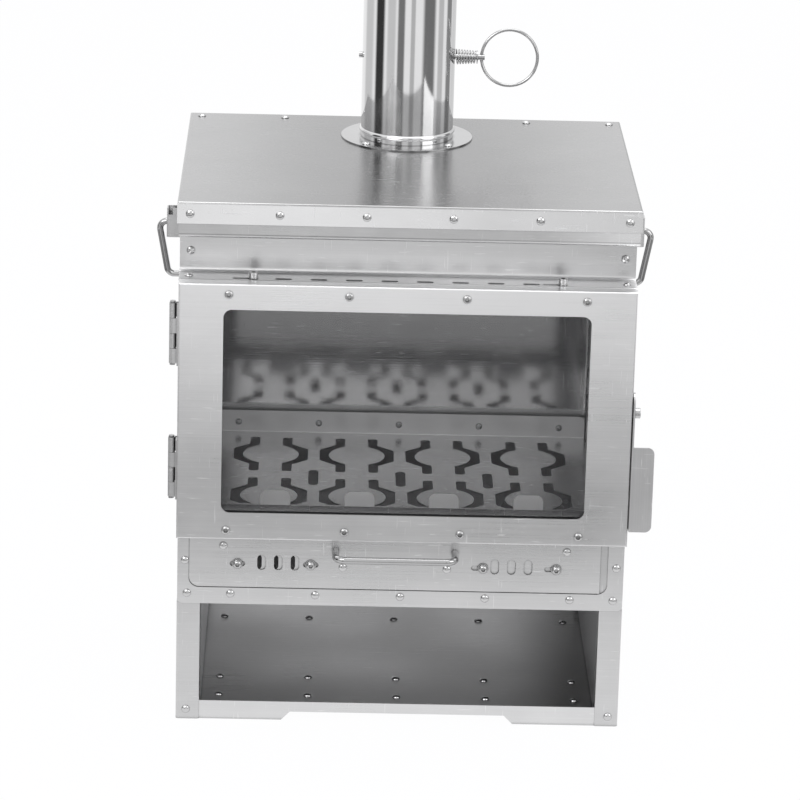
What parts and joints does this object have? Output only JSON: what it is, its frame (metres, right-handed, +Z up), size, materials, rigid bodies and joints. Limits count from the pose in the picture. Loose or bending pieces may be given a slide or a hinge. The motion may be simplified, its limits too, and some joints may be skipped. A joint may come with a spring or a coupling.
{
  "type": "camping wood stove",
  "caption": "Box-shaped folded-sheet camping wood stove with a window door, ash drawer, wood store, flue pipe with damper and wire handles.",
  "frame": {"origin": "on the ground, under the middle of the stove's outline", "axes": "+X to the right, seen from the front, -Y forward out of the door, +Z up along the flue"},
  "size_m": [0.4266, 0.3278, 0.7574],
  "materials": {
    "base_shell": "brushed",
    "store_liner": "brushed",
    "base_front_rail": "brushed",
    "store_floor": "brushed",
    "floor_channels": "brushed",
    "base_rivets": "polished",
    "ash_deck": "brushed",
    "front_panel": "brushed",
    "front_panel_rivets": "polished",
    "body_shell": "brushed",
    "firebox_liner": "brushed",
    "liner_cap": "brushed",
    "front_sill": "brushed",
    "grate_rails": "brushed",
    "grate_rail_rivets": "polished",
    "grate": "brushed",
    "grate_bolts": "polished",
    "recess_channel": "brushed",
    "recess_rivets": "polished",
    "lid": "brushed",
    "lid_rivets": "polished",
    "flue_flange": "brushed",
    "flue_flange_rivets": "polished",
    "flue_pipe": "polished",
    "left_handle_bracket": "brushed",
    "left_side_handle": "polished",
    "right_handle_bracket": "brushed",
    "right_side_handle": "polished",
    "handle_bracket_rivets": "polished",
    "hinge_body_leaves": "brushed",
    "hinge_pins": "polished",
    "hinge_rivets": "polished",
    "latch_stud": "polished",
    "door_frame": "brushed",
    "glass": "clear",
    "gasket": "woven",
    "glass_retainers": "brushed",
    "door_screws": "polished",
    "hinge_door_leaves": "brushed",
    "latch_pivot_bolt": "polished",
    "latch_lever": "brushed",
    "drawer_front": "brushed",
    "ash_tray": "brushed",
    "drawer_handle": "polished",
    "drawer_rivets": "polished",
    "left_shutter": "brushed",
    "left_shutter_bolts": "polished",
    "right_shutter": "brushed",
    "right_shutter_bolts": "polished",
    "air_slider": "brushed",
    "air_slider_bolts": "polished",
    "damper_disc": "brushed",
    "damper_shaft": "polished",
    "damper_spring": "polished",
    "damper_ring": "polished"
  },
  "bodies": {
    "stove": {"base_shell": "base_shell", "store_liner": "store_liner", "base_front_rail": "base_front_rail", "store_floor": "store_floor", "floor_channels": "floor_channels", "base_rivets": "base_rivets", "ash_deck": "ash_deck", "front_panel": "front_panel", "front_panel_rivets": "front_panel_rivets", "body_shell": "body_shell", "firebox_liner": "firebox_liner", "liner_cap": "liner_cap", "front_sill": "front_sill", "grate_rails": "grate_rails", "grate_rail_rivets": "grate_rail_rivets", "grate": "grate", "grate_bolts": "grate_bolts", "recess_channel": "recess_channel", "recess_rivets": "recess_rivets", "lid": "lid", "lid_rivets": "lid_rivets", "flue_flange": "flue_flange", "flue_flange_rivets": "flue_flange_rivets", "flue_pipe": "flue_pipe", "left_handle_bracket": "left_handle_bracket", "left_side_handle": "left_side_handle", "right_handle_bracket": "right_handle_bracket", "right_side_handle": "right_side_handle", "handle_bracket_rivets": "handle_bracket_rivets", "hinge_body_leaves": "hinge_body_leaves", "hinge_pins": "hinge_pins", "hinge_rivets": "hinge_rivets", "latch_stud": "latch_stud"},
    "door": {"door_frame": "door_frame", "door_glass": "glass", "glass_gasket": "gasket", "glass_retainers": "glass_retainers", "door_screws": "door_screws", "hinge_door_leaves": "hinge_door_leaves", "latch_pivot_bolt": "latch_pivot_bolt"},
    "latch": {"latch_lever": "latch_lever"},
    "drawer": {"drawer_front": "drawer_front", "ash_tray": "ash_tray", "drawer_handle": "drawer_handle", "drawer_rivets": "drawer_rivets"},
    "left_draught": {"left_shutter": "left_shutter", "left_shutter_bolts": "left_shutter_bolts"},
    "right_draught": {"right_shutter": "right_shutter", "right_shutter_bolts": "right_shutter_bolts"},
    "air_control": {"air_slider": "air_slider", "air_slider_bolts": "air_slider_bolts"},
    "damper": {"damper_disc": "damper_disc", "damper_shaft": "damper_shaft", "damper_spring": "damper_spring", "damper_ring": "damper_ring"}
  },
  "joints": [
    {"name": "door_hinge", "type": "hinge", "parent": "stove", "child": "door", "pos_m": [-0.1933, -0.1349, 0.284], "axis": [0, 0, -1], "range_deg": [0, 120]},
    {"name": "latch_turn", "type": "hinge", "parent": "door", "child": "latch", "pos_m": [0.19, -0.1406, 0.2824], "axis": [1, 0, 0], "range_deg": [-70, 12]},
    {"name": "drawer_slide", "type": "slide", "parent": "stove", "child": "drawer", "axis": [0, -1, 0], "range_m": [0, 0.2]},
    {"name": "left_draught_slide", "type": "slide", "parent": "drawer", "child": "left_draught", "axis": [1, 0, 0], "range_m": [-0.0042, 0.0042]},
    {"name": "right_draught_slide", "type": "slide", "parent": "drawer", "child": "right_draught", "axis": [1, 0, 0], "range_m": [-0.0077, 0.0007]},
    {"name": "air_slide", "type": "slide", "parent": "stove", "child": "air_control", "axis": [1, 0, 0], "range_m": [-0.0146, 0]},
    {"name": "damper_turn", "type": "hinge", "parent": "stove", "child": "damper", "pos_m": [0, 0.094, 0.528], "axis": [1, 0, 0], "range_deg": [0, 90]}
  ]
}
